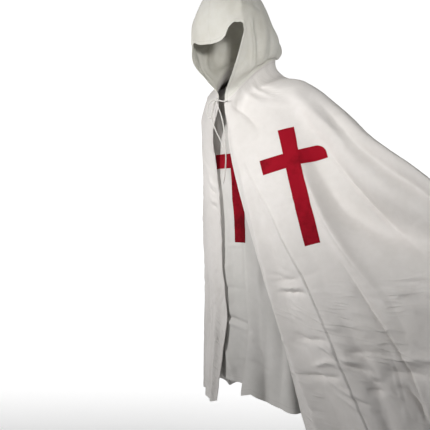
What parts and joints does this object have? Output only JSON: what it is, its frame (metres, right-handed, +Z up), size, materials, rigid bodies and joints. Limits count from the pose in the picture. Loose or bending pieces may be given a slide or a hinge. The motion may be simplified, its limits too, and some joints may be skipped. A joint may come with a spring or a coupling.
{
  "type": "hooded mantle and surcoat costume",
  "caption": "White hooded knight's mantle worn open over a white surcoat, each with a red Latin cross, hollow, with one arm held out under the mantle.",
  "frame": {"origin": "on the wearer's upright centre line, between the shoulders, level with the tie at the throat", "axes": "+Z up along the wearer's body, -Y the way the wearer faces, +X towards the wearer's left, where the arm reaches out"},
  "size_m": [1.2139, 0.5279, 1.4611],
  "materials": {
    "mantle_cloth": "white plain-woven cotton, matt",
    "surcoat_cloth": "off-white plain-woven cotton, matt",
    "cross_cloth": "dark red plain-woven cotton, matt",
    "tie_cord": "white round cord"
  },
  "bodies": {
    "root": {"mantle_front_left": "mantle_cloth", "mantle_back_left": "mantle_cloth", "mantle_back_right": "mantle_cloth", "mantle_front_right": "mantle_cloth", "hood_left": "mantle_cloth", "hood_right": "mantle_cloth", "mantle_cross": "cross_cloth", "surcoat_front": "surcoat_cloth", "surcoat_back": "surcoat_cloth", "surcoat_cross": "cross_cloth", "tie_bar": "tie_cord", "tie_knot": "tie_cord", "tie_end_long": "tie_cord", "tie_end_short": "tie_cord", "tie_loop": "tie_cord"}
  },
  "joints": []
}
